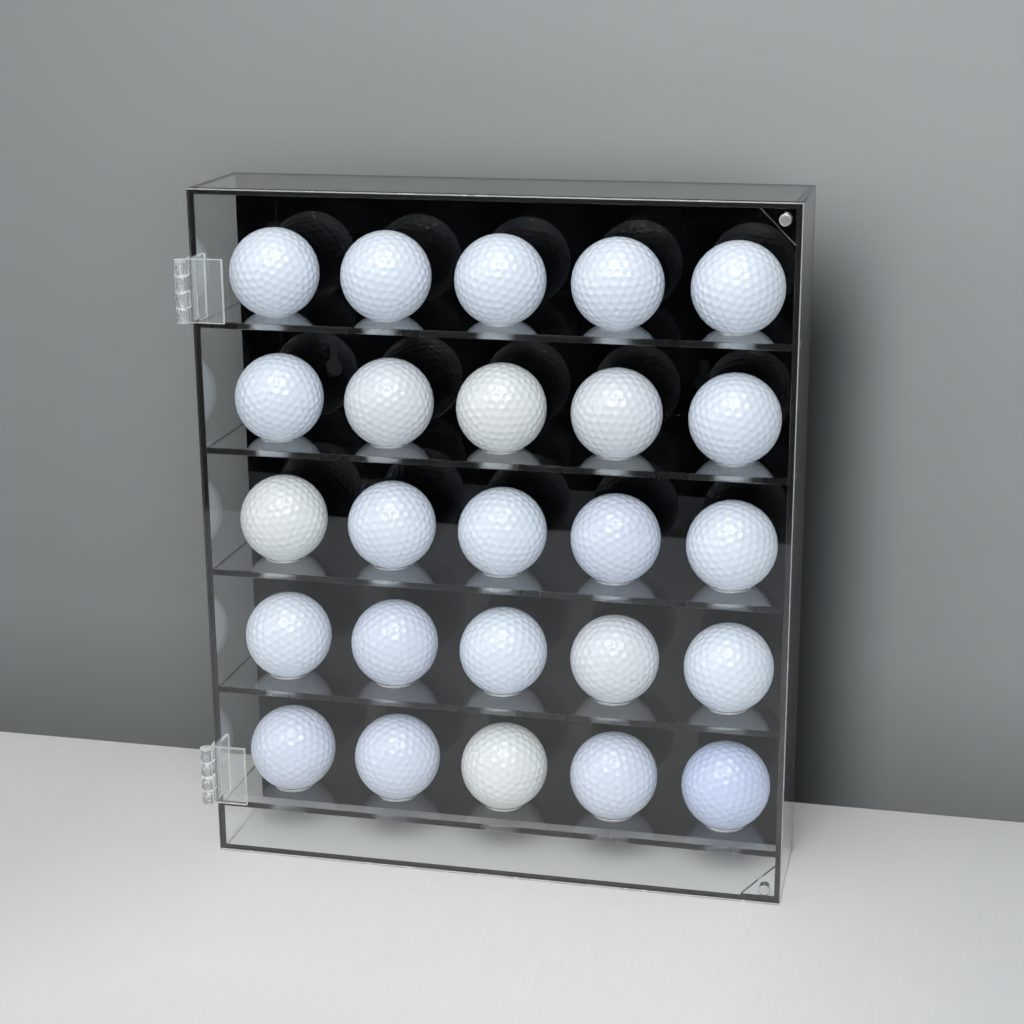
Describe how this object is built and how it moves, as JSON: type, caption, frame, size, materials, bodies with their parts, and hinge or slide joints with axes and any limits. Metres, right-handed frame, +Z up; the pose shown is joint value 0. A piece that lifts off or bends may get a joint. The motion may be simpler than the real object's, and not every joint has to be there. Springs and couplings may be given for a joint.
{
  "type": "golf ball display case",
  "caption": "Clear acrylic case with drilled shelves that seat golf balls in rows, a black back with keyholes, and a clear hinged door held by magnets.",
  "frame": {"origin": "centre of the case's footprint, measured over the box and its shut door, on the plane that it stands on", "axes": "+Z up, -Y out of the front through the door, +Y into the wall behind, +X to the right seen from the front"},
  "size_m": [0.2871, 0.0681, 0.3317],
  "materials": {
    "clear_acrylic": "clear polished sheet",
    "black_acrylic": "black polished sheet",
    "clear_hinge_plastic": "clear moulded plastic",
    "nickel_plated_magnet": "bright nickel plate",
    "golf_ball_cover": "glossy clear-coated white cover"
  },
  "bodies": {
    "case": {"left_wall": "clear_acrylic", "right_wall": "clear_acrylic", "top_panel": "clear_acrylic", "bottom_panel": "clear_acrylic", "back_panel": "black_acrylic", "shelf_1": "clear_acrylic", "shelf_2": "clear_acrylic", "shelf_3": "clear_acrylic", "shelf_4": "clear_acrylic", "shelf_5": "clear_acrylic", "catch_plate_upper": "clear_acrylic", "case_magnet_upper": "nickel_plated_magnet", "hinge_upper_wall_leaf": "clear_hinge_plastic", "hinge_upper_pin": "clear_hinge_plastic", "catch_plate_lower": "clear_acrylic", "case_magnet_lower": "nickel_plated_magnet", "hinge_lower_wall_leaf": "clear_hinge_plastic", "hinge_lower_pin": "clear_hinge_plastic"},
    "door": {"door_panel": "clear_acrylic", "hinge_upper_door_leaf": "clear_hinge_plastic", "door_magnet_upper": "nickel_plated_magnet", "hinge_lower_door_leaf": "clear_hinge_plastic", "door_magnet_lower": "nickel_plated_magnet"},
    "ball_r1_c1": {"golf_ball_r1_c1": "golf_ball_cover"},
    "ball_r1_c2": {"golf_ball_r1_c2": "golf_ball_cover"},
    "ball_r1_c3": {"golf_ball_r1_c3": "golf_ball_cover"},
    "ball_r1_c4": {"golf_ball_r1_c4": "golf_ball_cover"},
    "ball_r1_c5": {"golf_ball_r1_c5": "golf_ball_cover"},
    "ball_r2_c1": {"golf_ball_r2_c1": "golf_ball_cover"},
    "ball_r2_c2": {"golf_ball_r2_c2": "golf_ball_cover"},
    "ball_r2_c3": {"golf_ball_r2_c3": "golf_ball_cover"},
    "ball_r2_c4": {"golf_ball_r2_c4": "golf_ball_cover"},
    "ball_r2_c5": {"golf_ball_r2_c5": "golf_ball_cover"},
    "ball_r3_c1": {"golf_ball_r3_c1": "golf_ball_cover"},
    "ball_r3_c2": {"golf_ball_r3_c2": "golf_ball_cover"},
    "ball_r3_c3": {"golf_ball_r3_c3": "golf_ball_cover"},
    "ball_r3_c4": {"golf_ball_r3_c4": "golf_ball_cover"},
    "ball_r3_c5": {"golf_ball_r3_c5": "golf_ball_cover"},
    "ball_r4_c1": {"golf_ball_r4_c1": "golf_ball_cover"},
    "ball_r4_c2": {"golf_ball_r4_c2": "golf_ball_cover"},
    "ball_r4_c3": {"golf_ball_r4_c3": "golf_ball_cover"},
    "ball_r4_c4": {"golf_ball_r4_c4": "golf_ball_cover"},
    "ball_r4_c5": {"golf_ball_r4_c5": "golf_ball_cover"},
    "ball_r5_c1": {"golf_ball_r5_c1": "golf_ball_cover"},
    "ball_r5_c2": {"golf_ball_r5_c2": "golf_ball_cover"},
    "ball_r5_c3": {"golf_ball_r5_c3": "golf_ball_cover"},
    "ball_r5_c4": {"golf_ball_r5_c4": "golf_ball_cover"},
    "ball_r5_c5": {"golf_ball_r5_c5": "golf_ball_cover"}
  },
  "joints": [
    {"name": "door_hinge", "type": "hinge", "parent": "case", "child": "door", "pos_m": [-0.1436, -0.03408, 0.16584], "axis": [0, 0, 1], "range_deg": [-180, 0]},
    {"name": "golf_ball_r1_c1_lift", "type": "slide", "parent": "case", "child": "ball_r1_c1", "axis": [0, 0, 1], "range_m": [0, 0.0165]},
    {"name": "golf_ball_r1_c2_lift", "type": "slide", "parent": "case", "child": "ball_r1_c2", "axis": [0, 0, 1], "range_m": [0, 0.0165]},
    {"name": "golf_ball_r1_c3_lift", "type": "slide", "parent": "case", "child": "ball_r1_c3", "axis": [0, 0, 1], "range_m": [0, 0.0165]},
    {"name": "golf_ball_r1_c4_lift", "type": "slide", "parent": "case", "child": "ball_r1_c4", "axis": [0, 0, 1], "range_m": [0, 0.0165]},
    {"name": "golf_ball_r1_c5_lift", "type": "slide", "parent": "case", "child": "ball_r1_c5", "axis": [0, 0, 1], "range_m": [0, 0.0165]},
    {"name": "golf_ball_r2_c1_lift", "type": "slide", "parent": "case", "child": "ball_r2_c1", "axis": [0, 0, 1], "range_m": [0, 0.0165]},
    {"name": "golf_ball_r2_c2_lift", "type": "slide", "parent": "case", "child": "ball_r2_c2", "axis": [0, 0, 1], "range_m": [0, 0.0165]},
    {"name": "golf_ball_r2_c3_lift", "type": "slide", "parent": "case", "child": "ball_r2_c3", "axis": [0, 0, 1], "range_m": [0, 0.0165]},
    {"name": "golf_ball_r2_c4_lift", "type": "slide", "parent": "case", "child": "ball_r2_c4", "axis": [0, 0, 1], "range_m": [0, 0.0165]},
    {"name": "golf_ball_r2_c5_lift", "type": "slide", "parent": "case", "child": "ball_r2_c5", "axis": [0, 0, 1], "range_m": [0, 0.0165]},
    {"name": "golf_ball_r3_c1_lift", "type": "slide", "parent": "case", "child": "ball_r3_c1", "axis": [0, 0, 1], "range_m": [0, 0.0165]},
    {"name": "golf_ball_r3_c2_lift", "type": "slide", "parent": "case", "child": "ball_r3_c2", "axis": [0, 0, 1], "range_m": [0, 0.0165]},
    {"name": "golf_ball_r3_c3_lift", "type": "slide", "parent": "case", "child": "ball_r3_c3", "axis": [0, 0, 1], "range_m": [0, 0.0165]},
    {"name": "golf_ball_r3_c4_lift", "type": "slide", "parent": "case", "child": "ball_r3_c4", "axis": [0, 0, 1], "range_m": [0, 0.0165]},
    {"name": "golf_ball_r3_c5_lift", "type": "slide", "parent": "case", "child": "ball_r3_c5", "axis": [0, 0, 1], "range_m": [0, 0.0165]},
    {"name": "golf_ball_r4_c1_lift", "type": "slide", "parent": "case", "child": "ball_r4_c1", "axis": [0, 0, 1], "range_m": [0, 0.0165]},
    {"name": "golf_ball_r4_c2_lift", "type": "slide", "parent": "case", "child": "ball_r4_c2", "axis": [0, 0, 1], "range_m": [0, 0.0165]},
    {"name": "golf_ball_r4_c3_lift", "type": "slide", "parent": "case", "child": "ball_r4_c3", "axis": [0, 0, 1], "range_m": [0, 0.0165]},
    {"name": "golf_ball_r4_c4_lift", "type": "slide", "parent": "case", "child": "ball_r4_c4", "axis": [0, 0, 1], "range_m": [0, 0.0165]},
    {"name": "golf_ball_r4_c5_lift", "type": "slide", "parent": "case", "child": "ball_r4_c5", "axis": [0, 0, 1], "range_m": [0, 0.0165]},
    {"name": "golf_ball_r5_c1_lift", "type": "slide", "parent": "case", "child": "ball_r5_c1", "axis": [0, 0, 1], "range_m": [0, 0.0165]},
    {"name": "golf_ball_r5_c2_lift", "type": "slide", "parent": "case", "child": "ball_r5_c2", "axis": [0, 0, 1], "range_m": [0, 0.0165]},
    {"name": "golf_ball_r5_c3_lift", "type": "slide", "parent": "case", "child": "ball_r5_c3", "axis": [0, 0, 1], "range_m": [0, 0.0165]},
    {"name": "golf_ball_r5_c4_lift", "type": "slide", "parent": "case", "child": "ball_r5_c4", "axis": [0, 0, 1], "range_m": [0, 0.0165]},
    {"name": "golf_ball_r5_c5_lift", "type": "slide", "parent": "case", "child": "ball_r5_c5", "axis": [0, 0, 1], "range_m": [0, 0.0165]}
  ]
}
